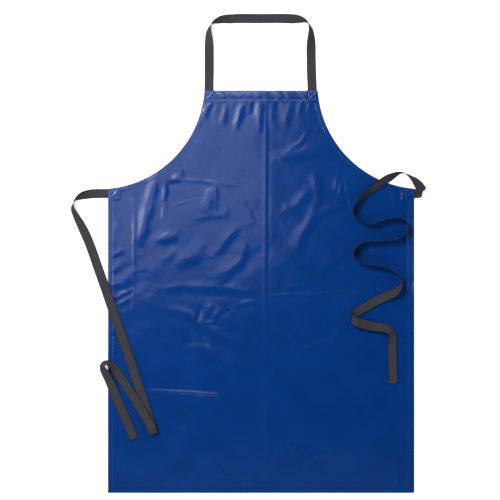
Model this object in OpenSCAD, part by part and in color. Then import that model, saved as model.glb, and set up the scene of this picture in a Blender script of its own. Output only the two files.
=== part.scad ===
// Bib apron of coated cloth, lying on its back with its front face up.
// +X is to the right, +Y is towards the neck and +Z is up, out of the front face.
// The origin is under the middle of the panel, on the surface that it lies on.

/* [Panel] */
// Finished width of the panel across the waist
panel_w = 830; // [800:5:860]
// Finished height of the panel from bottom edge to bib top
panel_l = 1090; // [1060:5:1120]
// Thickness of one layer of coated cloth
cloth_t = 0.8; // [0.5:0.1:0.8]
// Radius of each round armhole
armhole_r = 287; // [280:1:295]
// Distance of each armhole's centre from the centre line
armhole_x = 440; // [435:1:450]
// Distance of each armhole's centre above the panel's middle
armhole_y = 565; // [560:1:570]

/* [Hems] */
// Depth of the cloth turned back along the bib top
top_hem_w = 27; // [26:1:32]
// Depth of the cloth turned back along each straight side
side_hem_w = 15; // [14:1:20]
// Depth of the narrow hems along the bottom and the armholes
narrow_hem_w = 8; // [7:1:10]
// Distance of the top seam from the bib top
top_seam_in = 25; // [24.5:0.5:25.5]
// Distance of each side seam from its edge
side_seam_in = 12.5; // [9:0.5:12.5]
// Distance of the narrow seams from their edges
narrow_seam_in = 5; // [4:0.5:6]

/* [Webbing] */
// Width of the webbing
webbing_w = 25; // [20:1:25]
// Thickness of the webbing
webbing_t = 1.5; // [1:0.1:1.5]
// Length of each waist tie that is sewn under the panel
tie_sewn_l = 29; // [25:1:29]
// Height of the middle of each waist tie where it leaves the panel
tie_y = 266; // [262:1:266]

/* [Thread] */
// Width of a seam's thread
thread_w = 0.8; // [0.5:0.1:1]
// Height of a seam's thread above the cloth
thread_h = 0.3; // [0.2:0.05:0.35]

/* [Hidden] */
$fn = 96;
cloth_blue = "#0b3080";
webbing_black = "#3c3c42";
thread_blue = "#1b3a86";
far = 2 * panel_l;               // larger than anything here, for trimming
hem_z = webbing_t;               // the turned-back cloth lies on the sewn webbing ends
border_z = webbing_t + cloth_t;  // the panel's border lies on the hems
top_z = border_z + cloth_t;      // the front face of the border
tie_pocket_x = panel_w / 2 - tie_sewn_l;
box_stitch = 22;                 // side of each box of stitching
neck_left_x = -141;
neck_right_x = 138.5;
end_trim = 0.05;                 // share of a span left open where a strap's two nodes meet
rings_per_span = 2;

// Each strap's route: x and y of its middle line, the height of its lowest edge above the floor,
// and the direction of its width as a compass angle and an upward tilt. 0 tilt is flat, 90 is on edge.
lie = 3.9;                       // lowest height of a strap that lies on the panel
NECK_ROUTE = [
    [-141, 520, 0, 0, 0], [-141, 546, 0, 0, 0], [-140.5, 600, 0, 0, 0], [-140.5, 655, 0, 0, 0],
    [-141, 682, 0, 0, 30], [-141, 702, 0, 0, 52], [-133, 725, 0, 45, 90], [-112, 735, 0, 90, 50],
    [-78, 739, 0, 90, 8], [0, 740, 0, 90, 0], [82, 739, 0, 90, 8], [104, 737, 0, 90, 48],
    [125, 729, 0, 135, 90], [134, 709, 0, 180, 60], [135.5, 686, 0, 180, 35], [135.5, 660, 0, 180, 5],
    [136.5, 600, 0, 180, 0], [138.5, 546, 0, 180, 0], [138.5, 520, 0, 180, 0]
];
LEFT_ROUTE = [
    [-386, 266, 0, 90, 0], [-415, 266, 0, 90, 0], [-440, 266, 0, 90, 0], [-466, 264, 0.1, 92, 18],
    [-488, 258, 0.2, 98, 50], [-504, 246, 0.4, 60, 90], [-509, 228, 0.4, 12, 62], [-499, 203, 1, 24, 40],
    [-486, 178, 2.5, 26, 20], [-472, 148, lie, 25, 0], [-437, 52, lie, 20, 0], [-408, -31, lie, 19, 0],
    [-364, -158, lie, 19, 0], [-329, -262, lie, 19, 0], [-305, -334, lie, 18, 0], [-296, -362, 4, 18, 0],
    [-290, -380, 5.4, 18, 0], [-288.5, -385, 9.4, 18, 0], [-291.5, -379, 13.2, 20, 0],
    [-299, -362, 13.2, 23, 0], [-315, -333, 10, 29, 0], [-340, -293, 6.8, 31, 0],
    [-357, -267, 6.2, 32, 0], [-378, -235, 4.8, 34, -4], [-394, -211, 4.6, 38, -22],
    [-405, -197, 4.8, 56, -46], [-417, -190, 5, 92, -66], [-426, -195, 4.9, 140, -56],
    [-428, -205, 4.8, 180, -44], [-423, -216, 4.8, 201, -32], [-412, -237, 5, 204, -16],
    [-403, -258, 5.2, 203, -4], [-396, -275, 4.4, 203, 0], [-380, -313, lie, 203, 0],
    [-361, -356, lie, 202, 0], [-343, -398, lie, 202, 0]
];
RIGHT_ROUTE = [
    [386, 266, 0, 90, 0], [410, 266, 0, 90, 0], [417, 266, 0, 90, 0], [423, 266, 0.2, 89, -3],
    [431, 266.5, 0.6, 84, -14], [436, 269, 5, 66, -20], [435.5, 274.5, 11.5, 44, -12],
    [430.5, 281, 15, 33, -2], [422, 292, 12.5, 36, -22], [407, 307, 7.5, 47, -60],
    [384, 321, 5.5, 60, -90], [344, 307, 4.5, 302, -34], [310, 284, 4.5, 306, -34],
    [274, 257, lie, 312, -65], [253, 234, lie, 0, -90], [247, 217, lie, 0, -90],
    [255, 202, lie, 0, -90], [289, 183, lie, 0, -90], [345, 197, lie, 0, -90], [385, 194, lie, 0, -90],
    [398, 172, lie, 0, -90], [378, 146, lie, 0, -90], [322, 137, lie, 0, -90], [266, 128, lie, 0, -90],
    [248, 103, lie, 0, -90], [276, 76, lie, 0, -90], [329, 67, lie, 0, -90], [371, 44, lie, 0, -90],
    [380, 20, lie, 118, -80], [365, 1, lie, 118, -40], [338, -12, lie, 118, -8], [300, -31, lie, 117, 0],
    [272, -47.5, 4.2, 118, 2], [258, -56, 4.6, 117, 6], [250, -62, 5.2, 110, 18], [247, -68, 9.5, 92, 26],
    [249.5, -74, 15.5, 72, 20], [257, -80, 19.5, 64, 5], [272, -86, 18, 72, 0], [292, -91, 13, 78, -2],
    [314, -95, 8.5, 77, -12], [335, -98, 6, 66, -26], [350, -108, 5, 36, -34],
    [355, -123, 4.6, 10, -18], [355, -142, lie, 2, 0], [357.5, -248, lie, 2, 0]
];
LEFT_JOINT = 5;                  // where the left tie turns, counted in spans of its route
RIGHT_JOINT = 15;                // where the right tie turns

// ---- Smooth routes ----

function unit(v) = v / norm(v);
function place(p) = [p[0], p[1], p[2]];
function width_dir(p) = [cos(p[4]) * cos(p[3]), cos(p[4]) * sin(p[3]), sin(p[4])];

// The slope of a route at point i, per mm, weighted towards the nearer neighbour.
function slope(r, i) =
    let (last = len(r) - 1)
    i == 0 ? unit(place(r[1]) - place(r[0])) :
    i == last ? unit(place(r[last]) - place(r[last - 1])) :
    let (
        back = place(r[i]) - place(r[i - 1]),
        ahead = place(r[i + 1]) - place(r[i]),
        b = norm(back),
        a = norm(ahead)
    )
    (ahead * b / a + back * a / b) / (a + b);

// The point of a route at u spans from its start, on a cubic curve through its points.
function along(r, u) =
    let (
        i = min(floor(u), len(r) - 2),
        s = u - i,
        d = norm(place(r[i + 1]) - place(r[i]))
    )
    (2 * s ^ 3 - 3 * s ^ 2 + 1) * place(r[i]) + (s ^ 3 - 2 * s ^ 2 + s) * d * slope(r, i)
    + (3 * s ^ 2 - 2 * s ^ 3) * place(r[i + 1]) + (s ^ 3 - s ^ 2) * d * slope(r, i + 1);

function heading(r, u) =
    let (step = 0.02, last = len(r) - 1)
    unit(along(r, min(u + step, last)) - along(r, max(u - step, 0)));

// The width direction at u, square to the route.
function across(r, u) =
    let (
        i = min(floor(u), len(r) - 2),
        s = u - i,
        w = (1 - s) * width_dir(r[i]) + s * width_dir(r[i + 1]),
        t = heading(r, u)
    )
    unit(w - (w * t) * t);

// The four corners of the webbing at u, lifted so that its lowest edge is at the route's height.
function ring(r, u) =
    let (
        w = across(r, u) * webbing_w / 2,
        n = cross(heading(r, u), across(r, u)) * webbing_t / 2,
        p = along(r, u) + [0, 0, abs(w[2]) + abs(n[2])]
    )
    [p - w - n, p + w - n, p + w + n, p - w + n];

// Webbing along a route from u0 to u1, as one closed solid.
module webbing(r, u0, u1) {
    spans = ceil((u1 - u0) * rings_per_span);
    rings = [for (k = [0:spans]) each ring(r, u0 + (u1 - u0) * k / spans)];
    // Both broad faces are split along the same diagonal, so a twisted stretch keeps its thickness.
    sides = [
        for (k = [0:spans - 1], c = [0:3])
            let (a = 4 * k + c, b = 4 * k + (c + 1) % 4)
            each c < 2 ? [[a, a + 4, b], [b, a + 4, b + 4]] : [[a, a + 4, b + 4], [a, b + 4, b]]
    ];
    e = 4 * spans;
    polyhedron(rings, concat([[0, 1, 2], [0, 2, 3], [e, e + 2, e + 1], [e, e + 3, e + 2]], sides));
}

// ---- Flat outlines ----

// The panel's outline, drawn in by a distance at its top, sides, bottom and armholes.
module outline(top = 0, side = 0, bottom = 0, armhole = 0) {
    difference() {
        translate([side - panel_w / 2, bottom - panel_l / 2])
            square([panel_w - 2 * side, panel_l - bottom - top]);
        for (s = [-1, 1])
            translate([s * armhole_x, armhole_y])
                circle(armhole_r + armhole);
    }
}

// The outline inside every hem, drawn in by a further distance.
module inside_hems(more = 0) {
    difference() {
        outline(top_hem_w + more, side_hem_w + more, narrow_hem_w + more, narrow_hem_w + more);
        for (s = [-1, 1])
            translate([s * panel_w / 2, tie_y])
                square([2 * (tie_sewn_l + more), webbing_w + 2 * more], center = true);
    }
}

module left_half() {
    translate([-far, -far / 2])
        square([far, far]);
}

module above(y) {
    translate([-far / 2, y])
        square([far, far]);
}

// ---- Cloth ----

// The panel lies on the floor inside its hems and steps up over them.
module panel() {
    color(cloth_blue) {
        linear_extrude(cloth_t)
            inside_hems();
        linear_extrude(top_z)
            difference() {
                inside_hems();
                inside_hems(cloth_t);
            }
        translate([0, 0, border_z])
            linear_extrude(cloth_t)
                difference() {
                    outline();
                    inside_hems();
                }
    }
}

module hem_layer() {
    color(cloth_blue)
        translate([0, 0, hem_z])
            linear_extrude(cloth_t)
                children();
}

module top_hem() {
    hem_layer()
        intersection() {
            outline();
            above(panel_l / 2 - top_hem_w);
        }
}

module left_side_hem() {
    hem_layer()
        difference() {
            outline(bottom = narrow_hem_w);
            translate([side_hem_w - panel_w / 2, -far / 2])
                square([far, far]);
        }
}

module right_side_hem() {
    mirror([1, 0, 0])
        left_side_hem();
}

module bottom_hem() {
    hem_layer()
        difference() {
            outline();
            outline(bottom = narrow_hem_w);
        }
}

module left_armhole_hem() {
    hem_layer()
        difference() {
            intersection() {
                outline(top = top_hem_w, side = side_hem_w);
                left_half();
            }
            outline(top = top_hem_w, armhole = narrow_hem_w);
        }
}

module right_armhole_hem() {
    mirror([1, 0, 0])
        left_armhole_hem();
}

// ---- Webbing ----

module neck_strap_left_end() {
    color(webbing_black)
        webbing(NECK_ROUTE, 0, 1 - end_trim);
}

module neck_strap() {
    color(webbing_black)
        webbing(NECK_ROUTE, 1 + end_trim, len(NECK_ROUTE) - 2 - end_trim);
}

module neck_strap_right_end() {
    color(webbing_black)
        webbing(NECK_ROUTE, len(NECK_ROUTE) - 2 + end_trim, len(NECK_ROUTE) - 1);
}

module left_tie_sewn_end() {
    color(webbing_black)
        webbing(LEFT_ROUTE, 0, LEFT_JOINT - end_trim);
}

module left_tie_strap() {
    color(webbing_black)
        webbing(LEFT_ROUTE, LEFT_JOINT + end_trim, len(LEFT_ROUTE) - 1);
}

module right_tie_sewn_end() {
    color(webbing_black)
        webbing(RIGHT_ROUTE, 0, RIGHT_JOINT - end_trim);
}

module right_tie_strap() {
    color(webbing_black)
        webbing(RIGHT_ROUTE, RIGHT_JOINT + end_trim, len(RIGHT_ROUTE) - 1);
}

// ---- Thread ----

module seam() {
    color(thread_blue)
        translate([0, 0, top_z])
            linear_extrude(thread_h)
                children();
}

module top_hem_stitching() {
    seam()
        intersection() {
            outline(armhole = narrow_seam_in);
            translate([-panel_w / 2, panel_l / 2 - top_seam_in])
                square([panel_w, thread_w]);
        }
}

module left_side_stitching() {
    seam()
        translate([side_seam_in - panel_w / 2, narrow_seam_in - panel_l / 2 + thread_w])
            square([thread_w, tie_y - webbing_w / 2 + panel_l / 2 - narrow_seam_in - 2 * thread_w]);
}

module right_side_stitching() {
    mirror([1, 0, 0])
        left_side_stitching();
}

module bottom_stitching() {
    seam()
        translate([-panel_w / 2 + narrow_seam_in, narrow_seam_in - panel_l / 2])
            square([panel_w - 2 * narrow_seam_in, thread_w]);
}

module left_armhole_stitching() {
    seam()
        intersection() {
            difference() {
                outline(top = top_seam_in + thread_w, side = tie_sewn_l, armhole = narrow_seam_in);
                outline(armhole = narrow_seam_in + thread_w);
            }
            left_half();
        }
}

module right_armhole_stitching() {
    mirror([1, 0, 0])
        left_armhole_stitching();
}

// A box of stitching with a cross in it.
module cross_stitch(x, y) {
    inner = box_stitch - 2 * thread_w;
    seam()
        translate([x, y]) {
            difference() {
                square(box_stitch, center = true);
                square(inner, center = true);
            }
            for (a = [-45, 45])
                rotate(a)
                    square([inner * sqrt(2), thread_w], center = true);
        }
}

module neck_left_cross_stitch() {
    cross_stitch(neck_left_x, panel_l / 2 - (top_seam_in - thread_w) / 2);
}

module neck_right_cross_stitch() {
    cross_stitch(neck_right_x, panel_l / 2 - (top_seam_in - thread_w) / 2);
}

module left_tie_cross_stitch() {
    cross_stitch((tie_pocket_x + panel_w / 2) / -2, tie_y);
}

module right_tie_cross_stitch() {
    cross_stitch((tie_pocket_x + panel_w / 2) / 2, tie_y);
}

panel();
top_hem();
left_side_hem();
right_side_hem();
bottom_hem();
left_armhole_hem();
right_armhole_hem();
neck_strap_left_end();
neck_strap();
neck_strap_right_end();
left_tie_sewn_end();
left_tie_strap();
right_tie_sewn_end();
right_tie_strap();
top_hem_stitching();
left_side_stitching();
right_side_stitching();
bottom_stitching();
left_armhole_stitching();
right_armhole_stitching();
neck_left_cross_stitch();
neck_right_cross_stitch();
left_tie_cross_stitch();
right_tie_cross_stitch();
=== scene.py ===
import math

import bpy
import numpy as np
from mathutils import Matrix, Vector
from mathutils.geometry import delaunay_2d_cdt


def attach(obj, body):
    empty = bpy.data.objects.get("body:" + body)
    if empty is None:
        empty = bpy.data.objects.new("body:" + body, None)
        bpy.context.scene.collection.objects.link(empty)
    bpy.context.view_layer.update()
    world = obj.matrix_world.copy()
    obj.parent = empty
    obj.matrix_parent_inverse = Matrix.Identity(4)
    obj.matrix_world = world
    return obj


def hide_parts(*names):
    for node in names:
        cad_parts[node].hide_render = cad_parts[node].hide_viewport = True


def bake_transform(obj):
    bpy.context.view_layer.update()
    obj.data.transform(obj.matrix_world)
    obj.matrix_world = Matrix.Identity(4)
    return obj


# A bib apron of glossy coated cloth that lies on its back, with webbing straps. Lengths are in
# metres, and heights are above the floor. Only the list of folds is in millimetres.
MM = 0.001

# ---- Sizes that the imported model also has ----
PANEL_W = 0.830
PANEL_L = 1.090
ARMHOLE_R = 0.287
ARMHOLE_X = 0.440
ARMHOLE_Y = 0.565
CLOTH_T = 0.8 * MM
# Each kind of edge has a hem of its own width, and a seam at its own distance from the edge.
HEMS = {"side": 15 * MM, "bottom": 8 * MM, "top": 27 * MM, "arm": 8 * MM}
SEAMS = {"side": 12.5 * MM, "bottom": 5 * MM, "top": 25 * MM, "arm": 5 * MM}
WEBBING_W = 25 * MM
WEBBING_T = 1.5 * MM
TIE_SEWN_L = 29 * MM
TIE_Y = 0.266
NECK_XS = (-0.141, 0.1385)
# A square of stitching over a webbing end, and half its size between the middles of its threads.
BOX_STITCH = 22 * MM
BOX_HALF = BOX_STITCH / 2 - 0.4 * MM

# Each route point is x, y, the height of the strap's lowest edge, and the direction of its width
# as an angle from the X axis and an upward tilt, in degrees. A tie lies on the cloth at height LIE.
LIE = 0.0039
NECK_ROUTE = [
    (-0.141, 0.52, 0, 0, 0), (-0.141, 0.546, 0, 0, 0), (-0.1405, 0.6, 0, 0, 0),
    (-0.1405, 0.655, 0, 0, 0), (-0.141, 0.682, 0, 0, 30), (-0.141, 0.702, 0, 0, 52),
    (-0.133, 0.725, 0, 45, 90), (-0.112, 0.735, 0, 90, 50), (-0.078, 0.739, 0, 90, 8),
    (0, 0.74, 0, 90, 0), (0.082, 0.739, 0, 90, 8), (0.104, 0.737, 0, 90, 48),
    (0.125, 0.729, 0, 135, 90), (0.134, 0.709, 0, 180, 60), (0.1355, 0.686, 0, 180, 35),
    (0.1355, 0.66, 0, 180, 5), (0.1365, 0.6, 0, 180, 0), (0.1385, 0.546, 0, 180, 0),
    (0.1385, 0.52, 0, 180, 0),
]
LEFT_ROUTE = [
    (-0.386, 0.266, 0, 90, 0), (-0.415, 0.266, 0, 90, 0), (-0.44, 0.266, 0, 90, 0),
    (-0.466, 0.264, 0.0001, 92, 18), (-0.488, 0.258, 0.0002, 98, 50), (-0.504, 0.246, 0.0004, 60, 90),
    (-0.509, 0.228, 0.0004, 12, 62), (-0.499, 0.203, 0.001, 24, 40), (-0.486, 0.178, 0.0025, 26, 20),
    (-0.472, 0.148, LIE, 25, 0), (-0.437, 0.052, LIE, 20, 0), (-0.408, -0.031, LIE, 19, 0),
    (-0.364, -0.158, LIE, 19, 0), (-0.329, -0.262, LIE, 19, 0), (-0.305, -0.334, LIE, 18, 0),
    (-0.296, -0.362, 0.004, 18, 0), (-0.29, -0.38, 0.0054, 18, 0), (-0.2885, -0.385, 0.0094, 18, 0),
    (-0.2915, -0.379, 0.0132, 20, 0), (-0.299, -0.362, 0.0132, 23, 0), (-0.315, -0.333, 0.01, 29, 0),
    (-0.34, -0.293, 0.0068, 31, 0), (-0.357, -0.267, 0.0062, 32, 0), (-0.378, -0.235, 0.0048, 34, -4),
    (-0.394, -0.211, 0.0046, 38, -22), (-0.405, -0.197, 0.0048, 56, -46),
    (-0.417, -0.19, 0.005, 92, -66), (-0.426, -0.195, 0.0049, 140, -56),
    (-0.428, -0.205, 0.0048, 180, -44), (-0.423, -0.216, 0.0048, 201, -32),
    (-0.412, -0.237, 0.005, 204, -16), (-0.403, -0.258, 0.0052, 203, -4),
    (-0.396, -0.275, 0.0044, 203, 0), (-0.38, -0.313, LIE, 203, 0), (-0.361, -0.356, LIE, 202, 0),
    (-0.343, -0.398, LIE, 202, 0),
]
RIGHT_ROUTE = [
    (0.386, 0.266, 0, 90, 0), (0.41, 0.266, 0, 90, 0), (0.417, 0.266, 0, 90, 0),
    (0.423, 0.266, 0.0002, 89, -3), (0.431, 0.2665, 0.0006, 84, -14), (0.436, 0.269, 0.005, 66, -20),
    (0.4355, 0.2745, 0.0115, 44, -12), (0.4305, 0.281, 0.015, 33, -2), (0.422, 0.292, 0.0125, 36, -22),
    (0.407, 0.307, 0.0075, 47, -60), (0.384, 0.321, 0.0055, 60, -90), (0.344, 0.307, 0.0045, 302, -34),
    (0.31, 0.284, 0.0045, 306, -34), (0.274, 0.257, LIE, 312, -65), (0.253, 0.234, LIE, 0, -90),
    (0.247, 0.217, LIE, 0, -90), (0.255, 0.202, LIE, 0, -90), (0.289, 0.183, LIE, 0, -90),
    (0.345, 0.197, LIE, 0, -90), (0.385, 0.194, LIE, 0, -90), (0.398, 0.172, LIE, 0, -90),
    (0.378, 0.146, LIE, 0, -90), (0.322, 0.137, LIE, 0, -90), (0.266, 0.128, LIE, 0, -90),
    (0.248, 0.103, LIE, 0, -90), (0.276, 0.076, LIE, 0, -90), (0.329, 0.067, LIE, 0, -90),
    (0.371, 0.044, LIE, 0, -90), (0.38, 0.02, LIE, 118, -80), (0.365, 0.001, LIE, 118, -40),
    (0.338, -0.012, LIE, 118, -8), (0.3, -0.031, LIE, 117, 0), (0.272, -0.0475, 0.0042, 118, 2),
    (0.258, -0.056, 0.0046, 117, 6), (0.25, -0.062, 0.0052, 110, 18), (0.247, -0.068, 0.0095, 92, 26),
    (0.2495, -0.074, 0.0155, 72, 20), (0.257, -0.08, 0.0195, 64, 5), (0.272, -0.086, 0.018, 72, 0),
    (0.292, -0.091, 0.013, 78, -2), (0.314, -0.095, 0.0085, 77, -12), (0.335, -0.098, 0.006, 66, -26),
    (0.35, -0.108, 0.005, 36, -34), (0.355, -0.123, 0.0046, 10, -18), (0.355, -0.142, LIE, 2, 0),
    (0.3575, -0.248, LIE, 2, 0),
]

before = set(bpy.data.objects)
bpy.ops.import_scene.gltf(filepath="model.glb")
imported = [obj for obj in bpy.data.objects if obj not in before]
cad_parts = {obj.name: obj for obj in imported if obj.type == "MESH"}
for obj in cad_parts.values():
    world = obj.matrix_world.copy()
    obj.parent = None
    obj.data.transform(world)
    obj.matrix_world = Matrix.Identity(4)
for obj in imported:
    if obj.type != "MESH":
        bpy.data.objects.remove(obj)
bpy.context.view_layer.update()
rng = np.random.default_rng(7)


# ---- Camera, floor and light ----

def add_object(name, data, place=(0, 0, 0)):
    made = bpy.data.objects.new(name, data)
    made.location = place
    bpy.context.scene.collection.objects.link(made)
    return made


def add_camera():
    """Straight down on the apron, from far enough away for a nearly flat view."""
    view_w, view_x, view_y = 1.355, -0.030, 0.113
    data = bpy.data.cameras.new("camera")
    data.lens = 100
    data.sensor_width = 36
    place = (view_x, view_y, view_w * data.lens / data.sensor_width)
    bpy.context.scene.camera = add_object("camera", data, place)


def add_softbox(name, place, target, size, power, color):
    data = bpy.data.lights.new(name, "AREA")
    data.shape = "RECTANGLE"
    data.size, data.size_y = size
    data.energy = power
    data.color = color
    light = add_object(name, data, place)
    light.rotation_euler = (Vector(target) - Vector(place)).to_track_quat("-Z", "Y").to_euler()
    light.visible_camera = False


# Softboxes that face straight down. The glossy cloth mirrors them, the strips as bright lines on
# its folds. Each has its name, its place, its size along X and Y, its power and its colour.
COOL = (0.97, 0.96, 1.0)
COOLER = (0.96, 0.95, 1.0)
OVERHEAD = (
    ("overhead", (-0.54, 0.54, 1.65), (1.12, 1.10), 2.7, COOL),
    ("strip", (-0.92, 0.30, 1.63), (0.10, 0.80), 0.5, COOL),
    ("strip", (-0.55, 0.45, 1.63), (0.10, 0.85), 0.5, COOL),
    ("strip", (-0.28, 0.62, 1.63), (0.10, 0.95), 0.5, COOL),
    ("strip", (-0.04, 0.60, 1.63), (0.10, 0.90), 0.5, COOL),
    ("low_glow", (0.0, -0.95, 1.64), (1.25, 0.45), 0.3, COOL),
    ("corner_glow", (-0.64, 0.80, 1.64), (0.45, 0.45), 3.4, COOLER),
    ("top_glow", (-0.15, 1.08, 1.64), (0.95, 0.36), 5.5, COOLER),
    ("left_glow", (-1.00, 0.22, 1.64), (0.40, 0.90), 5.5, COOLER),
)
# Square white softboxes around the apron: name, place, target, side length and power.
AROUND = (
    ("key", (-1.5, 1.6, 2.6), (-0.1, 0.1, 0), 0.8, 104),
    ("right_fill", (2.5, 0.3, 2.3), (0, 0, 0), 1.6, 24),
    ("low_fill", (0.2, -2.6, 2.3), (0, 0, 0), 1.6, 28),
    ("left_fill", (-2.6, -0.8, 2.3), (0, 0, 0), 1.6, 24),
)


def add_lights():
    for name, (x, y, z), size, power, color in OVERHEAD:
        add_softbox(name, (x, y, z), (x, y, 0), size, power, color)
    for name, place, target, side, power in AROUND:
        add_softbox(name, place, target, (side, side), power, (1, 1, 1))


def add_world():
    """A pale horizon under a dark zenith, as in a studio with bright walls and a dark ceiling."""
    walls_end, ceiling_starts, walls_light, ceiling_light = 0.30, 0.80, 0.90, 0.02
    world = bpy.data.worlds.new("studio")
    bpy.context.scene.world = world
    world.use_nodes = True
    s = Nodes(world.node_tree)
    up = s.parts(s.node("TexCoord", output="Generated"))["Z"]
    strength = s.spread(up, walls_end, ceiling_starts, walls_light, ceiling_light)
    s.node("OutputWorld", {"Surface": s.node("Background", {"Strength": strength})}, None)


def add_floor(material):
    size = 6.0
    mesh = bpy.data.meshes.new("floor")
    corners = [(-size, -size, 0), (size, -size, 0), (size, size, 0), (-size, size, 0)]
    mesh.from_pydata(corners, [], [(0, 1, 2, 3)])
    mesh.materials.append(material)
    add_object("floor", mesh)


# ---- Materials ----

class Nodes:
    """A node tree, with short calls for the nodes that are used here."""

    def __init__(self, tree):
        self.tree = tree
        tree.nodes.clear()

    def node(self, kind, inputs=None, output=0, **settings):
        """Makes a node, feeds its inputs and gives one of its outputs, or the node for None."""
        made = self.tree.nodes.new("ShaderNode" + kind)
        for key, value in settings.items():
            setattr(made, key, value)
        for key, value in (inputs or {}).items():
            self.feed(made.inputs[key], value)
        return made if output is None else made.outputs[output]

    def feed(self, socket, value):
        if hasattr(value, "is_output"):
            self.tree.links.new(value, socket)
        else:
            socket.default_value = value

    def place(self):
        return self.node("TexCoord", output="Object")

    def attribute(self, name, output="Fac"):
        return self.node("Attribute", output=output, attribute_name=name)

    def noise(self, scale, detail=3.0, roughness=0.5):
        sockets = {"Vector": self.place(), "Scale": scale, "Detail": detail, "Roughness": roughness}
        return self.node("TexNoise", sockets, "Fac")

    def math(self, operation, *values):
        return self.node("Math", dict(enumerate(values)), operation=operation)

    def wave(self, value, period):
        return self.math("SINE", self.math("MULTIPLY", value, 2 * math.pi / period))

    def spread(self, value, low, high, to_low=0, to_high=1):
        """Maps low to high onto to_low to to_high, and holds the ends."""
        sockets = {"Value": value, "From Min": low, "From Max": high, "To Min": to_low, "To Max": to_high}
        return self.node("MapRange", sockets)

    def mix(self, factor, a, b):
        """Blends two colours. The node's colour sockets can only be told apart by number."""
        return self.node("Mix", {"Factor": factor, 6: a, 7: b}, 2, data_type="RGBA")

    def parts(self, vector):
        return self.node("SeparateXYZ", {0: vector}, None).outputs

    def bump(self, height, distance, under=None, strength=1.0):
        sockets = {"Height": height, "Distance": distance, "Strength": strength}
        if under is not None:
            sockets["Normal"] = under
        return self.node("Bump", sockets)


class Shader(Nodes):
    """A material with one Principled shader."""

    def __init__(self, name):
        self.material = bpy.data.materials.new(name)
        self.material.use_nodes = True
        super().__init__(self.material.node_tree)
        self.bsdf = self.node("BsdfPrincipled", output=None)
        self.node("OutputMaterial", {"Surface": self.bsdf.outputs[0]}, None)

    def set(self, **values):
        for key, value in values.items():
            self.feed(self.bsdf.inputs[key.replace("_", " ")], value)


def rgb(red, green, blue):
    return (red, green, blue, 1.0)


def weave_height(shader, across, along, pitch):
    """A plain weave: two sets of rounded yarns that pass over each other in turn."""
    return shader.math("MULTIPLY", shader.wave(across, 2 * pitch), shader.wave(along, 2 * pitch))


def coated_cloth():
    """Glossy blue coating over a woven base that shows through as a faint grain.

    The attribute that it reads is 1 on the tops of folds, where a highlight is painted into the colour as
    a paler blue, and where the coating is rubbed smoother.
    """
    deep_blue, blue = rgb(0.0003, 0.0212, 0.118), rgb(0.0006, 0.0242, 0.135)
    highlight_blue = rgb(0.030, 0.055, 0.22)
    s = Shader("coated_cloth")
    x, y, _ = s.parts(s.place())
    wear_and_highlight = s.attribute("wear_and_highlight")
    patches = s.noise(14, 4)
    streaks = s.noise(55, 5, roughness=0.6)
    highlight_patches = s.noise(420, 6, roughness=0.7)
    base = s.mix(s.spread(patches, 0.35, 0.65), deep_blue, blue)
    highlight_share = s.math("MULTIPLY", wear_and_highlight, s.spread(highlight_patches, 0.3, 0.75, 0.25, 1.0))
    # Painted highlight: the colour on the tops of folds is lifted towards a paler blue, in patches.
    color = s.mix(s.math("MULTIPLY", highlight_share, 0.15), base, highlight_blue)
    rough = s.spread(streaks, 0.25, 0.75, 0.145, 0.205)
    rough = s.math("SUBTRACT", rough, s.math("MULTIPLY", wear_and_highlight, 0.05))
    grain = weave_height(s, x, y, 0.55 * MM)
    orange_peel = s.noise(900, 2)
    creases = s.noise(60, 3, roughness=0.45)
    dimples = s.noise(170, 2)
    normal = s.bump(grain, 0.012 * MM, strength=0.5)
    normal = s.bump(orange_peel, 0.03 * MM, normal, 0.5)
    normal = s.bump(creases, 0.35 * MM, normal, 0.5)
    normal = s.bump(dimples, 0.10 * MM, normal, 0.5)
    s.set(Base_Color=color, Roughness=rough, Normal=normal, IOR=1.47)
    return s.material


def cloth_back():
    """The woven base on the back of the cloth, matt, with the coating's blue in its yarns."""
    low_yarn, high_yarn, soaked = rgb(0.006, 0.030, 0.13), rgb(0.018, 0.062, 0.24), rgb(0.010, 0.045, 0.19)
    s = Shader("coated_cloth_back")
    x, y, _ = s.parts(s.place())
    weave = weave_height(s, x, y, 0.6 * MM)
    slubs = s.noise(260, 4)
    tone = s.mix(s.spread(weave, -0.7, 0.7), low_yarn, high_yarn)
    color = s.mix(s.spread(s.noise(18, 3), 0.35, 0.65, 0, 0.5), tone, soaked)
    normal = s.bump(weave, 0.10 * MM)
    normal = s.bump(slubs, 0.12 * MM, normal, 0.6)
    s.set(Base_Color=color, Roughness=s.spread(slubs, 0.3, 0.7, 0.62, 0.80), Normal=normal,
          Sheen_Weight=0.15, Sheen_Roughness=0.5)
    return s.material


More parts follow.
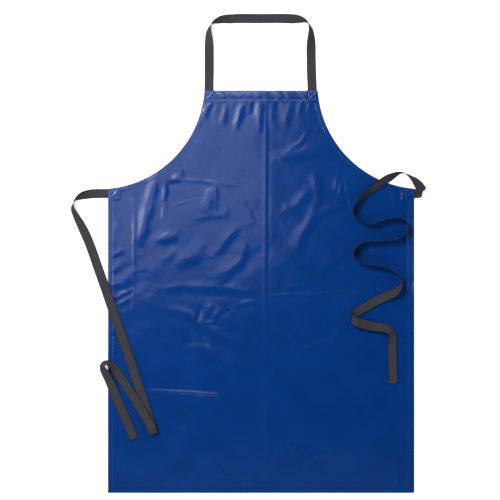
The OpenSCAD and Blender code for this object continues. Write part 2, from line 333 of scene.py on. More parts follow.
def webbing_cloth():
    """Charcoal webbing: a fine twill between two darker selvages, a little fuzzy.

    The "strap" attribute is how far across and along the webbing a point is, in metres.
    """
    turn = 2 * math.pi
    low_yarn, high_yarn = rgb(0.006, 0.006, 0.008), rgb(0.046, 0.045, 0.055)
    shade_gray, fleck_gray = rgb(0.014, 0.014, 0.018), rgb(0.052, 0.051, 0.060)
    edge_gray = rgb(0.005, 0.005, 0.006)
    s = Shader("webbing")
    across, along, _ = s.parts(s.attribute("strap", "Vector"))
    edge = s.spread(s.math("ABSOLUTE", across), 10.2 * MM, 12.3 * MM)
    rib = s.wave(across, RIB_PITCH)
    slant = s.math("ADD", s.math("MULTIPLY", along, turn / (1.3 * MM)),
                   s.math("MULTIPLY", across, turn / (2 * RIB_PITCH)))
    pick = s.math("SINE", slant)
    weave = s.math("ADD", s.math("MULTIPLY", rib, 0.45), s.math("MULTIPLY", pick, 0.55))
    fuzz = s.noise(1500, 3)
    shade = s.noise(35, 4)
    flecks = s.noise(420, 4, roughness=0.7)
    yarns = s.mix(s.spread(weave, -0.9, 0.9), low_yarn, high_yarn)
    toned = s.mix(s.spread(shade, 0.3, 0.7, 0, 0.35), yarns, shade_gray)
    toned = s.mix(s.spread(flecks, 0.42, 0.72, 0, 0.6), toned, fleck_gray)
    color = s.mix(s.math("MULTIPLY", edge, 0.85), toned, edge_gray)
    normal = s.bump(weave, 0.16 * MM)
    normal = s.bump(fuzz, 0.10 * MM, normal, 0.5)
    s.set(Base_Color=color, Roughness=s.spread(fuzz, 0.3, 0.7, 0.68, 0.88), Normal=normal,
          Specular_IOR_Level=0.08)
    return s.material


def thread_material():
    """Twisted blue polyester thread."""
    between, ply = rgb(0.001, 0.014, 0.085), rgb(0.004, 0.028, 0.15)
    ply_pitch = 0.5 * MM
    s = Shader("thread")
    x, y, _ = s.parts(s.place())
    twist = s.wave(s.math("ADD", x, y), ply_pitch)
    color = s.mix(s.spread(twist, -1, 1), between, ply)
    s.set(Base_Color=color, Roughness=s.spread(s.noise(800), 0.3, 0.7, 0.38, 0.55),
          Normal=s.bump(twist, 0.05 * MM), Sheen_Weight=0.05, Specular_IOR_Level=0.25)
    return s.material


def floor_material():
    """A matt floor with some light of its own, so that it looks white."""
    dull, pale = rgb(0.58, 0.58, 0.58), rgb(0.61, 0.61, 0.61)
    s = Shader("pale_floor")
    s.set(Base_Color=s.mix(s.spread(s.noise(3, 4), 0.3, 0.7), dull, pale))
    s.set(Roughness=0.9, Specular_IOR_Level=0.1, Emission_Color=rgb(1, 1, 1), Emission_Strength=0.58)
    return s.material


# ---- Meshes ----

def add_mesh(name, points, faces, material):
    mesh = bpy.data.meshes.new(name)
    mesh.from_pydata(np.asarray(points).tolist(), [], [tuple(map(int, f)) for f in faces])
    mesh.materials.append(material)
    mesh.polygons.foreach_set("use_smooth", [True] * len(mesh.polygons))
    mesh.validate()
    mesh.update()
    return add_object(name, mesh)


def belong(piece, node):
    """Hides the CAD node that a piece stands for, and fixes the piece to the apron's body."""
    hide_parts(node)
    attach(piece, "apron")


def add_attribute(piece, name, values):
    """Gives each vertex a number or a vector that a material can read."""
    values = np.asarray(values, dtype=np.float32)
    kind = "FLOAT" if values.ndim == 1 else "FLOAT_VECTOR"
    layer = piece.data.attributes.new(name, kind, "POINT")
    layer.data.foreach_set("value" if values.ndim == 1 else "vector", values.ravel())


def unit(v):
    return v / np.maximum(np.linalg.norm(v, axis=-1, keepdims=True), 1e-12)


def smoothstep(low, high, x):
    t = np.clip((x - low) / (high - low), 0, 1)
    return t * t * (3 - 2 * t)


def distance_along(line):
    return np.r_[0, np.cumsum(np.linalg.norm(np.diff(line, axis=0), axis=1))]


def resample(values, run, at):
    """Reads each column of values, known at distances run, at other distances."""
    return np.stack([np.interp(at, run, column) for column in values.T], axis=-1)


# ---- Straps ----

RIB_PITCH = 1.55 * MM


def route_slopes(places):
    """The curve's slope at each point, weighted towards the nearer neighbour."""
    steps = np.diff(places, axis=0)
    lengths = np.linalg.norm(steps, axis=1)[:, None]
    back, ahead, b, a = steps[:-1], steps[1:], lengths[:-1], lengths[1:]
    middle = (ahead * b / a + back * a / b) / (a + b)
    return np.vstack([unit(steps[:1]), middle, unit(steps[-1:])])


def along_route(places, slopes, u):
    """Points of a smooth curve through the places. u counts the places, with parts between them."""
    i = np.minimum(u.astype(int), len(places) - 2)
    s = (u - i)[:, None]
    d = np.linalg.norm(places[i + 1] - places[i], axis=1)[:, None]
    return ((2 * s**3 - 3 * s**2 + 1) * places[i] + (s**3 - 2 * s**2 + s) * d * slopes[i]
            + (3 * s**2 - 2 * s**3) * places[i + 1] + (s**3 - s**2) * d * slopes[i + 1])


def square_to(heading, width):
    return unit(width - (width * heading).sum(1)[:, None] * heading)


def strap_frames(route, spacing):
    """Evenly spaced centres of a strap, with its heading, width and face directions there."""
    rows = np.array(route, dtype=float)
    places, yaw, tilt = rows[:, :3], np.radians(rows[:, 3]), np.radians(rows[:, 4])
    widths = np.stack([np.cos(tilt) * np.cos(yaw), np.cos(tilt) * np.sin(yaw), np.sin(tilt)], axis=1)
    per_span = 60
    u = np.linspace(0, len(rows) - 1, (len(rows) - 1) * per_span + 1)
    line = along_route(places, route_slopes(places), u)
    heading = unit(np.gradient(line, axis=0))
    i = np.minimum(u.astype(int), len(rows) - 2)
    s = (u - i)[:, None]
    width = square_to(heading, (1 - s) * widths[i] + s * widths[i + 1])
    face = np.cross(heading, width)
    lift = np.abs(width[:, 2]) * WEBBING_W / 2 + np.abs(face[:, 2]) * WEBBING_T / 2
    line[:, 2] += lift
    run = distance_along(line)
    stations = np.linspace(0, run[-1], int(run[-1] / spacing) + 1)
    centre, width = (ease(resample(v, run, stations), 3) for v in (line, width))
    heading = unit(np.gradient(centre, axis=0))
    width = square_to(heading, width)
    return centre, heading, width, np.cross(heading, width), stations


def ease(values, times):
    """Softens the small kinks where a route's spans meet, and keeps both ends."""
    for _ in range(times):
        values = np.vstack([values[:1], (values[:-2] + 2 * values[1:-1] + values[2:]) / 4, values[-1:]])
    return values


def strap_profile():
    """The webbing's section: ribs between two rounded selvages. Columns are across and out."""
    half_w, half_t = WEBBING_W / 2, WEBBING_T / 2
    selvage, selvage_drop = 1.7 * MM, 0.04 * MM
    rib_depth = 0.13 * MM
    groove_w, groove_depth = 0.3 * MM, 0.16 * MM
    flat_w = half_w - 0.45 * MM
    round_w, round_t = half_w - 0.14 * MM, 0.62 * half_t
    x = np.linspace(-flat_w, flat_w, 47)
    ribs = half_t - rib_depth * (0.5 - 0.5 * np.cos(2 * np.pi * x / RIB_PITCH))
    out = np.where(np.abs(x) > half_w - selvage, half_t - selvage_drop, ribs)
    out = out - groove_depth * np.exp(-((np.abs(x) - half_w + selvage) / groove_w) ** 2)
    top = np.stack([x, out], axis=1)
    side = np.array([[round_w, round_t], [half_w, 0], [round_w, -round_t]])
    return np.vstack([top, side, -top, -side])


def add_strap(name, route, material):
    """One length of webbing as a closed mesh along its route. Gives the piece and its centre line.

    The webbing sways out of its plane and varies in width a little, as a soft weave does.
    """
    spacing, off_floor, end_bulge = 2.2 * MM, 0.02 * MM, 0.35 * MM
    centre, heading, width, face, run = strap_frames(route, spacing)
    profile = strap_profile()
    n, m = len(centre), len(profile)
    sway = 0.10 * MM * np.sin(run / 0.0037) * np.sin(run / 0.021)
    squeeze = 1 + 0.012 * np.sin(run / 0.013 + 1.1) * np.sin(run / 0.05)
    across = profile[None, :, 0] * squeeze[:, None]
    rings = (centre[:, None, :] + width[:, None, :] * across[..., None]
             + face[:, None, :] * (profile[None, :, 1] + sway[:, None])[..., None])
    rings[..., 2] = np.maximum(rings[..., 2], off_floor)
    cells = np.arange(n - 1)[:, None] * m
    j = np.arange(m)
    k = (j + 1) % m
    quads = np.stack([cells + j, cells + k, cells + m + k, cells + m + j], axis=-1).reshape(-1, 4)
    points = rings.reshape(-1, 3)
    caps = np.array([centre[0] - heading[0] * end_bulge, centre[-1] + heading[-1] * end_bulge])
    first, last = len(points), len(points) + 1
    faces = quads.tolist()
    faces += [(first, int(b), int(a)) for a, b in zip(j, k)]
    faces += [(last, int((n - 1) * m + a), int((n - 1) * m + b)) for a, b in zip(j, k)]
    piece = add_mesh(name, np.vstack([points, caps]), faces, material)
    weave = np.zeros((len(points) + 2, 3))
    weave[:-2, 0] = np.tile(profile[:, 0], n)
    weave[:-2, 1] = np.repeat(run, m)
    weave[-1, 1] = run[-1]
    add_attribute(piece, "strap", weave)
    return piece, centre


# Each strap's name, route, CAD nodes, length, where it leaves the cloth, what is on its far end,
# the body it moves with, and where it starts and ends bending as that body moves.
STRAPS = (
    ("neck_webbing", NECK_ROUTE, ("neck_strap_left_end", "neck_strap", "neck_strap_right_end"),
     0.685, (-0.141, 0.545, WEBBING_T / 2), "object", "neck_loop", (0, 0.545, 0), (0, 0.565, 0)),
    ("left_tie_webbing", LEFT_ROUTE, ("left_tie_sewn_end", "left_tie_strap"),
     1.269, (-0.415, 0.266, WEBBING_T / 2), "bare", "left_tie", (-0.498, 0.254, 0), (-0.510, 0.238, 0)),
    ("right_tie_webbing", RIGHT_ROUTE, ("right_tie_sewn_end", "right_tie_strap"),
     1.270, (0.415, 0.266, WEBBING_T / 2), "bare", "right_tie", (0.247, 0.226, 0), (0.247, 0.208, 0)),
)


def add_straps(material):
    for name, route, nodes, length, leaves_at, far_end, body, start, end in STRAPS:
        piece, path = add_strap(name, route, material)
        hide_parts(*nodes)
        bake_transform(piece)


add_camera()
add_straps(webbing_cloth())


# ---- The cloth's outline ----

def edge_distances(xy):
    """How far inside each edge of the cloth the points are: left, right, bottom, top and armholes."""
    x, y = xy[:, 0], xy[:, 1]
    left, right = x + PANEL_W / 2, PANEL_W / 2 - x
    bottom, top = y + PANEL_L / 2, PANEL_L / 2 - y
    arm = np.hypot(np.abs(x) - ARMHOLE_X, y - ARMHOLE_Y) - ARMHOLE_R
    return left, right, bottom, top, arm


def inside(xy, inset):
    return np.min(edge_distances(xy), axis=0) > inset


def even(inset):
    return dict.fromkeys(HEMS, inset)


def corners(insets):
    """The right half's corners, with each edge moved in by its own inset."""
    reach = ARMHOLE_R + insets["arm"]
    side_x = PANEL_W / 2 - insets["side"]
    top_y = PANEL_L / 2 - insets["top"]
    low = (side_x, insets["bottom"] - PANEL_L / 2)
    waist = (side_x, ARMHOLE_Y - math.sqrt(reach**2 - (ARMHOLE_X - side_x) ** 2))
    bib = (ARMHOLE_X - math.sqrt(reach**2 - (ARMHOLE_Y - top_y) ** 2), top_y)
    return np.array([low, waist, bib])


def straight(a, b, spacing):
    return np.linspace(a, b, max(2, int(round(math.dist(a, b) / spacing)) + 1))


def armhole_line(waist, bib, reach, spacing):
    """The right armhole's edge, from the waist corner up to the bib corner."""
    start, end = (math.atan2(y - ARMHOLE_Y, x - ARMHOLE_X) for x, y in (waist, bib))
    angles = np.linspace(start, end, int(round(abs(end - start) * reach / spacing)) + 1)
    return np.stack([ARMHOLE_X + reach * np.cos(angles), ARMHOLE_Y + reach * np.sin(angles)], axis=1)


def edge_line(edge, insets, spacing):
    """One edge of the cloth between its two corners, anticlockwise around the cloth."""
    low, waist, bib = corners(insets)
    flip = np.array([-1, 1])
    if edge == "bottom":
        return straight(low * flip, low, spacing)
    if edge == "right_side":
        return straight(low, waist, spacing)
    if edge == "top":
        return straight(bib, bib * flip, spacing)
    if edge == "left_side":
        return straight(waist * flip, low * flip, spacing)
    line = armhole_line(waist, bib, ARMHOLE_R + insets["arm"], spacing)
    return line if edge == "right_armhole" else line[::-1] * flip


# The edges, anticlockwise from the bottom, each with its kind.
EDGES = {"bottom": "bottom", "right_side": "side", "right_armhole": "arm", "top": "top",
         "left_armhole": "arm", "left_side": "side"}


def outline_loop(inset, spacing):
    return np.vstack([edge_line(edge, even(inset), spacing)[:-1] for edge in EDGES])


# ---- The cloth's relief ----

# Each fold is its height, its half width and places along it, in millimetres. It is a little steeper
# on the right of its direction, with a shallow trough beside it there. A negative height is a dent.
# A fold's place in the list sets its random unevenness.
FOLDS = [
    # The long creases from folding the cloth
    (0.7, 6, [(12, -542), (10, -360), (10, -175)]),
    (1.3, 3.6, [(10, -200), (10, 65), (12, 355), (15, 544)]),
    (0.8, 4, [(-347, -60), (-344, 60), (-344, 170), (-343, 318)]),
    (-0.5, 5, [(-365, -516), (-365, -422)]),
    (0.4, 6, [(-122, 108), (-122, 363)]),
    (0.4, 5, [(-96, 181), (-96, 254)]),
    (0.5, 6, [(367, -540), (367, -440)]),
    # The upper left
    (4.0, 12, [(-330, 120), (-318, 180), (-303, 235), (-290, 285), (-279, 335)]),
    (2.4, 7.5, [(-266, 190), (-261, 255), (-260, 332)]),
    (1.1, 5, [(-262, 303), (-197, 302), (-146, 298), (-109, 292), (-45, 288)]),
    (1.7, 8, [(-272, 322), (-246, 307), (-224, 313), (-214, 336)]),
    (2.6, 13, [(-160, 210), (-142, 248), (-124, 290)]),
    (0.6, 3, [(-251, 229), (-205, 242), (-158, 253)]),
    (1.0, 8, [(-194, 196), (-164, 201), (-104, 211), (-73, 212)]),
    (2.2, 11, [(-301, 138), (-262, 146), (-222, 158)]),
    (1.4, 8, [(-272, 84), (-246, 98), (-232, 124)]),
    (2.3, 12, [(-240, 80), (-192, 97), (-152, 136)]),
    (2.3, 9.5, [(-138, 88), (-104, 130), (-60, 182)]),
    (2.4, 10, [(-144, 30), (-98, 55), (-60, 82), (-42, 130)]),
    (1.4, 7, [(-122, 14), (-100, 36), (-79, 66)]),
    (0.6, 9, [(-182, 410), (-109, 384)]),
    (-0.6, 5, [(-200, 300), (-223, 388)]),
    # The middle left
    (1.7, 8.5, [(-280, 10), (-218, 14), (-160, 13), (-109, 12), (-59, 6), (0, 2)]),
    (1.9, 8.5, [(-282, -42), (-222, -52), (-177, -72), (-155, -92), (-106, -116), (-66, -130),
                (-36, -115)]),
    (-1.5, 6, [(-170, -86), (-164, -30)]),
    (1.1, 5, [(-152, -60), (-130, -30)]),
    (1.1, 5, [(-130, -77), (-110, -45)]),
    (0.9, 4, [(-152, -86), (-120, -79)]),
    (1.1, 5, [(-69, -42), (-48, -31), (-8, -27)]),
    (1.7, 7.5, [(-222, -174), (-197, -156), (-155, -150), (-117, -174), (-80, -192), (-55, -187)]),
    (0.5, 5, [(-227, -164), (-207, -113)]),
    # The lower left
    (1.6, 3.5, [(-332, -266), (-255, -270), (-182, -274), (-124, -278), (-76, -270)]),
    (-0.95, 5.5, [(-326, -257), (-255, -261), (-182, -265), (-124, -269), (-80, -261)]),
    (0.9, 6, [(-232, -338), (-200, -342), (-162, -333)]),
    (0.9, 7, [(-240, -373), (-197, -358), (-157, -353)]),
    (-0.6, 5, [(-79, -509), (-106, -473), (-117, -442)]),
    (0.5, 5, [(-117, -491), (-80, -509)]),
    # Beside the left hem
    (1.3, 7, [(-408, 100), (-388, 106), (-372, 118)]),
    (1.6, 10, [(-408, 52), (-390, 66), (-372, 90)]),
    (2.0, 11, [(-406, 26), (-378, 33), (-352, 48), (-344, 66)]),
    (1.3, 5, [(-408, 15), (-384, 20), (-356, 12)]),
    (1.1, 5, [(-386, -6), (-366, -2), (-350, 9)]),
    (0.8, 5, [(-404, -22), (-388, -14), (-372, -16)]),
    (0.8, 6, [(-392, -34), (-368, -26), (-352, -10)]),
    (0.9, 8, [(-398, 132), (-388, 168), (-392, 204)]),
    (1.2, 6, [(-405, -540), (-404, -440), (-406, -330), (-404, -230)]),
    (-0.8, 5, [(-378, 272), (-356, 250)]),
    # The upper right
    (1.7, 12, [(21, 360), (72, 372), (130, 379), (190, 390)]),
    (0.9, 5, [(75, 388), (105, 404), (132, 443)]),
    (2.1, 10, [(55, 226), (90, 233), (116, 257), (141, 288)]),
    (1.6, 10, [(152, 225), (150, 268), (144, 325)]),
    (2.7, 10, [(94, 105), (106, 151), (128, 187), (141, 215), (136, 244)]),
    (1.6, 9, [(138, 205), (181, 222), (232, 243)]),
    (1.4, 9, [(150, 66), (188, 80), (223, 116)]),
    (1.2, 5, [(200, 272), (206, 315)]),
    (1.2, 5, [(212, 261), (220, 301)]),
    (1.2, 5, [(234, 262), (229, 305)]),
    (0.7, 5, [(248, 217), (237, 261)]),
    (1.2, 6, [(359, 225), (353, 290)]),
    (0.4, 5, [(43, -1), (40, 36)]),
    (0.7, 6, [(72, 13), (105, 17), (132, 30), (139, 50)]),
    # The right and the lower right
    (1.3, 3.5, [(18, -11), (94, -7), (178, -2), (283, 3)]),
    (1.2, 7, [(90, -191), (110, -159), (138, -144), (168, -136), (197, -122), (219, -99)]),
    (0.6, 6, [(88, -319), (64, -343), (65, -378), (77, -407), (98, -438), (134, -435)]),
    (0.6, 6, [(107, -476), (145, -446), (192, -431)]),
    (-0.4, 6, [(72, -364), (83, -407), (167, -418)]),
    (1.9, 4.5, [(404, -45), (405, 60), (404, 160), (405, 262)]),
    (1.3, 5, [(397, -6), (403, 12), (409, 30)]),
    (0.8, 5, [(385, -37), (410, -33)]),
    # Puckers below the top seam and in the top hem
    (1.6, 7, [(-158, 462), (-148, 490), (-133, 519)]),
    (0.9, 6, [(-128, 470), (-116, 519)]),
    (1.4, 7, [(-108, 440), (-100, 478), (-92, 519)]),
    (0.7, 5, [(-82, 484), (-74, 519)]),
    (1.9, 8, [(-72, 430), (-60, 474), (-42, 519)]),
    (0.9, 5, [(-34, 480), (-28, 519)]),
    (-0.9, 6, [(-22, 470), (-18, 519)]),
    (1.6, 7, [(-8, 425), (-4, 470), (-3, 519)]),
    (1.0, 8, [(26, 452), (33, 519)]),
    (-0.7, 5, [(44, 484), (48, 519)]),
    (1.3, 8, [(60, 436), (70, 478), (80, 519)]),
    (0.8, 7, [(98, 474), (112, 519)]),
    (0.7, 5, [(124, 488), (136, 519)]),
    (1.3, 3.5, [(-122, 541), (-98, 522)]),
    (1.7, 4, [(-95, 541), (-66, 522)]),
    (1.2, 3.5, [(-76, 541), (-50, 522)]),
    (1.7, 4, [(-52, 541), (-22, 522)]),
    (1.2, 3.5, [(-26, 541), (-4, 522)]),
    (1.5, 4, [(26, 541), (54, 522)]),
    (1.0, 3.5, [(60, 541), (84, 524)]),
    (1.7, 4, [(96, 542), (126, 522)]),
]

GRID_STEP = 1.25 * MM
GRID_X = np.arange(-0.432, 0.4321, GRID_STEP)
GRID_Y = np.arange(-0.562, 0.5621, GRID_STEP)
# The front face's height where the cloth is flat: single, over a hem and over sewn webbing.
FIELD_H = 2.0 * MM
BORDER_H = 2.5 * MM
SEWN_H = 3.1 * MM
# The lowest it may dip, single and on a hem, and the highest it may rise, under a tie and elsewhere.
LOW_LIMIT = 0.95 * MM
HEM_LIMIT = 2.0 * MM
TIE_LIMIT = 3.55 * MM
FREE_LIMIT = 6.0 * MM


def noise(x, y, size, seed, turn=0.0):
    """Smooth random values between about -1 and 1, in bumps about `size` across."""
    cells, middle = 128, 600.5
    angles = np.random.default_rng(seed).uniform(0, 2 * np.pi, (cells, cells))
    c, s = math.cos(turn), math.sin(turn)
    u, v = (c * x - s * y) / size + middle, (s * x + c * y) / size + middle
    i, j = np.floor(u).astype(int), np.floor(v).astype(int)
    fu, fv = u - i, v - j

    def slope_at(di, dj):
        a = angles[(i + di) % cells, (j + dj) % cells]
        return np.cos(a) * (fu - di) + np.sin(a) * (fv - dj)

    su, sv = (t**3 * (t * (6 * t - 15) + 10) for t in (fu, fv))
    low = slope_at(0, 0) * (1 - su) + slope_at(1, 0) * su
    high = slope_at(0, 1) * (1 - su) + slope_at(1, 1) * su
    return 1.6 * (low * (1 - sv) + high * sv)


def smooth_line(places, parts=8):
    """A smooth line through given points, as closely spaced points."""
    p = np.array(places, dtype=float)
    if len(p) < 3:
        return np.linspace(p[0], p[-1], parts + 1)
    p = np.vstack([2 * p[0] - p[1], p, 2 * p[-1] - p[-2]])
    t = np.linspace(0, 1, parts, endpoint=False)[:, None]
    spans = [0.5 * (2 * b + (c - a) * t + (2 * a - 5 * b + 4 * c - d) * t**2
                    + (3 * b - a - 3 * c + d) * t**3)
             for a, b, c, d in zip(p, p[1:], p[2:], p[3:])]
    return np.vstack(spans + [p[-2:-1]])


def line_distance(x, y, line):
    """Signed distance to a line, positive on its right, and how far along it the nearest place is."""
    best = np.full(x.shape, np.inf)
    signed = np.zeros(x.shape)
    share = np.zeros(x.shape)
    lengths = np.linalg.norm(np.diff(line, axis=0), axis=1)
    run = distance_along(line)
    for (ax, ay), (bx, by), start, length in zip(line, line[1:], run, lengths):
        dx, dy = (bx - ax) / length, (by - ay) / length
        t = np.clip((x - ax) * dx + (y - ay) * dy, 0, length)
        ex, ey = x - ax - t * dx, y - ay - t * dy
        distance = np.hypot(ex, ey)
        near = distance < best
        best = np.where(near, distance, best)
        side = np.sign(ex * dy - ey * dx)
        signed = np.where(near, distance * side, signed)
        share = np.where(near, (start + t) / run[-1], share)
    return signed, share


def add_fold(grid, gx, gy, height, half, places, seed):
    """Adds one fold to the grid. A narrow fold has a crisp top, and a wide one a rounded top.

    Its line wanders, its height is uneven, and it fades out towards both ends.
    """
    line = smooth_line(places) * MM
    half = half * MM
    reach = 6 * half
    i = (GRID_X > line[:, 0].min() - reach) & (GRID_X < line[:, 0].max() + reach)
    j = (GRID_Y > line[:, 1].min() - reach) & (GRID_Y < line[:, 1].max() + reach)
    block = np.ix_(j, i)
    x, y = gx[block], gy[block]
    wander, wander_size = 0.22 * half, max(26 * MM, 3.5 * half)
    x = x + wander * noise(x, y, wander_size, seed)
    y = y + wander * noise(x, y, wander_size, seed + 1)
    signed, share = line_distance(x, y, line)
    width = np.where(signed > 0, 1.10 * half, 1.30 * half)
    crisp = 1 / (1 + (signed / width) ** 2) ** 2
    rounded = np.exp(-0.9 * (signed / width) ** 2)
    soft = min(half / (12 * MM), 1)
    ridge = crisp + soft * (rounded - crisp)
    trough = 0.26 * np.exp(-((signed - 2.6 * half) / (1.4 * half)) ** 2)
    taper = np.sin(np.pi * np.clip(share, 0, 1)) ** 0.8
    uneven = 0.85 + 0.35 * noise(x, y, wander_size + 8 * MM, seed + 2)
    grid[block] += height * MM * (ridge - trough) * taper * uneven


def smooth_min(a, b, blend):
    share = np.clip(0.5 + 0.5 * (b - a) / blend, 0, 1)
    return b + (a - b) * share - blend * share * (1 - share)


def sewn_raise(x, y):
    """Where the cloth lies over the sewn webbing, from 0 to 1."""
    margin, fade = 1.5 * MM, 7 * MM
    half_hem, half_end = HEMS["top"] / 2, TIE_SEWN_L / 2
    places = [(cx, PANEL_L / 2 - half_hem, WEBBING_W / 2, half_hem) for cx in NECK_XS]
    places += [(side * (PANEL_W / 2 - half_end), TIE_Y, half_end, WEBBING_W / 2) for side in (-1, 1)]
    best = np.zeros(np.shape(x))
    for cx, cy, half_x, half_y in places:
        out = np.hypot(np.maximum(np.abs(x - cx) - half_x - margin, 0),
                       np.maximum(np.abs(y - cy) - half_y - margin, 0))
        best = np.maximum(best, 1 - smoothstep(0, fade, out))
    return best


def ceiling(x, y):
    """How high a fold may stand: low wherever a tie lies or sweeps.

    The left above a sloping line, the middle above the waist and the top of the bib are free.
    """
    left = np.minimum((y - 0.257 + 0.595 * (x + 0.508)) / 1.164, -x)
    middle = np.minimum(0.160 - x, y - 0.110)
    free = np.maximum(np.maximum(left, middle), y - 0.345)
    return TIE_LIMIT + (FREE_LIMIT - TIE_LIMIT) * smoothstep(0, 25 * MM, free)


# The kinds of the edges that edge_distances measures from, in its order.
DISTANCE_KINDS = ("side", "side", "bottom", "top", "arm")


def hem_share(x, y):
    """1 on the hems and 0 on the single cloth, with a soft step just inside each hem."""
    xy = np.stack([np.ravel(x), np.ravel(y)], axis=1)
    shares = [1 - smoothstep(HEMS[kind] - 0.5 * MM, HEMS[kind] + 6 * MM, d)
              for kind, d in zip(DISTANCE_KINDS, edge_distances(xy))]
    return np.max(shares, axis=0).reshape(np.shape(x))


def crumpled_share(x, y):
    """The upper left is the most crumpled, and the lower half lies smoothest."""
    left = 1 - smoothstep(-0.05, 0.15, x)
    upper = smoothstep(-0.30, 0.00, y)
    patchy = 0.75 + 0.5 * noise(x, y, 120 * MM, 3)
    return np.clip(patchy * (0.15 + 0.35 * upper + 0.5 * left * upper), 0, 1)


def crease_rise(x, y):
    """The cloth rises gently to the centre crease from the left and drops more steeply beyond it."""
    crease_x, crease_h, left_slope, right_slope = 12 * MM, 1.0 * MM, 0.20, 0.045
    off = x - crease_x
    rise = np.where(off < 0, np.exp(off / left_slope), np.exp(-off / right_slope))
    return crease_h * rise * smoothstep(-0.12, 0.06, y)


def make_relief():
    """Heights of the cloth's front face on a regular grid.

    Waves of three sizes come first, then the centre crease, small creases of three sizes where the
    cloth is crumpled, and the folds. The limits and the sewn webbing come last.
    """
    gx, gy = np.meshgrid(GRID_X, GRID_Y)
    hem = hem_share(gx, gy)
    crumple = crumpled_share(gx, gy)
    grid = FIELD_H + (BORDER_H - FIELD_H) * hem
    grid += 0.60 * MM * noise(gx, gy, 110 * MM, 1)
    grid += (0.14 + 0.50 * crumple) * MM * noise(gx, gy, 56 * MM, 2, 0.5)
    grid += 0.07 * MM * (0.15 + crumple) * noise(gx, 0.5 * gy, 13 * MM, 9, 0.3)
    grid += crease_rise(gx, gy)
    for size, high, seed in ((46, 0.42, 4), (27, 0.32, 5), (15, 0.15, 6)):
        away = np.abs(noise(gx, gy, size * MM, seed, 0.35 * seed)) / 0.45
        grid += high * MM * crumple * (0.5 - np.minimum(away, 1)) ** 2 * np.sign(0.5 - away)
    for k, (height, half, places) in enumerate(FOLDS):
        add_fold(grid, gx, gy, height, half, places, 100 + 3 * k)
    grid = soften(grid, 1)
    grid = smooth_min(grid, ceiling(gx, gy), 0.8 * MM)
    floor = LOW_LIMIT + (HEM_LIMIT - LOW_LIMIT) * hem
    grid = -smooth_min(-grid, -floor, 0.5 * MM)
    sewn = sewn_raise(gx, gy)
    return grid * (1 - sewn) + SEWN_H * sewn


def soften(grid, times):
    for _ in range(times):
        for axis in (0, 1):
            grid = (np.roll(grid, 1, axis) + 2 * grid + np.roll(grid, -1, axis)) / 4
    return grid


def sample(grid, xy):
    """Reads a grid at any places, blending the four nearest values."""
    u = np.clip((xy[:, 0] - GRID_X[0]) / GRID_STEP, 0, len(GRID_X) - 1.001)
    v = np.clip((xy[:, 1] - GRID_Y[0]) / GRID_STEP, 0, len(GRID_Y) - 1.001)
    i, j = u.astype(int), v.astype(int)
    fu, fv = u - i, v - j
    return ((grid[j, i] * (1 - fu) + grid[j, i + 1] * fu) * (1 - fv)
            + (grid[j + 1, i] * (1 - fu) + grid[j + 1, i + 1] * fu) * fv)


def bell(off, width):
    return np.exp(-(off / width) ** 2)


def seam_dent(xy):
    """How far the stitching pulls the cloth in, with small puckers beside it."""
    x, y = xy[:, 0], xy[:, 1]
    around = ARMHOLE_R * np.arctan2(y - ARMHOLE_Y, np.abs(x) - ARMHOLE_X) + np.sign(x)
    alongs = (y, y, x, x, around)
    insets = [d - SEAMS[kind] for kind, d in zip(DISTANCE_KINDS, edge_distances(xy))]
    dent = np.zeros(len(xy))
    for k, (along, off) in enumerate(zip(alongs, insets)):
        active = np.min([o for i, o in enumerate(insets) if i != k], axis=0) > 0
        groove = 0.22 * MM * bell(off, 0.75 * MM) + 0.10 * MM * bell(off, 3.5 * MM)
        waves = noise(along, 0.25 * off, 9 * MM, 40 + k) + 0.7 * noise(along, 0.2 * off, 19 * MM, 50 + k)
        pucker = 0.24 * MM * waves * bell(off, 7 * MM)
        dent = np.where(active, np.maximum(dent, groove) - pucker, dent)
    return dent


def sewn_boxes():
    """The middle of each square of stitching that holds a webbing end."""
    above_seam = 0.8 * MM
    neck_y = PANEL_L / 2 - (SEAMS["top"] - above_seam) / 2
    tie_x = PANEL_W / 2 - TIE_SEWN_L / 2
    return {"neck_left": (NECK_XS[0], neck_y), "neck_right": (NECK_XS[1], neck_y),
            "left_tie": (-tie_x, TIE_Y), "right_tie": (tie_x, TIE_Y)}


def box_dent(xy):
    """How far the squares and crosses of stitching press in, with the cloth puffed up between."""
    dent = np.zeros(len(xy))
    for cx, cy in sewn_boxes().values():
        x, y = np.abs(xy[:, 0] - cx), np.abs(xy[:, 1] - cy)
        line = np.minimum(np.abs(x - y) / math.sqrt(2), np.abs(np.maximum(x, y) - BOX_HALF))
        within = 1 - smoothstep(BOX_HALF, BOX_HALF + 3 * MM, np.maximum(x, y))
        dent += within * (0.60 * bell(line, 1.3 * MM) - 0.30) * MM
    return dent


def bend_of(grid):
    """How sharply a grid bends at each place, negative on ridges."""
    around = [np.roll(grid, step, axis) for axis in (0, 1) for step in (1, -1)]
    return sum(around) - 4 * grid


relief = make_relief()
bend = bend_of(soften(relief, 2))
# Where a highlight is painted on the cloth's colour and the coating is rubbed smoother: fully on ridges
# that bend at least this sharply.
SHARP_BEND = 0.045 * MM
ridges = soften(np.clip(-bend / SHARP_BEND, 0, 1), 2)


def front_height(xy):
    """The finished height of the front face, with its seams, and with its edges rolled down."""
    rolled = 0.25 * MM * np.exp(-np.min(edge_distances(xy), axis=0) / (1.6 * MM))
    quiet = 1 - 0.6 * sewn_raise(xy[:, 0], xy[:, 1])
    return sample(relief, xy) - seam_dent(xy) * quiet - box_dent(xy) - rolled


# ---- The panel ----

# The cloth and its threads stay clear of the floor by these heights.
OFF_FLOOR = 0.03 * MM
THREAD_OFF_FLOOR = 0.42 * MM
# The front face ends this far inside the cloth's edge, where the rim starts to roll over.
RIM = CLOTH_T
# How many points the fine grid may have, so that the panel stays under the export's triangle limit.
FRONT_BUDGET = 63000


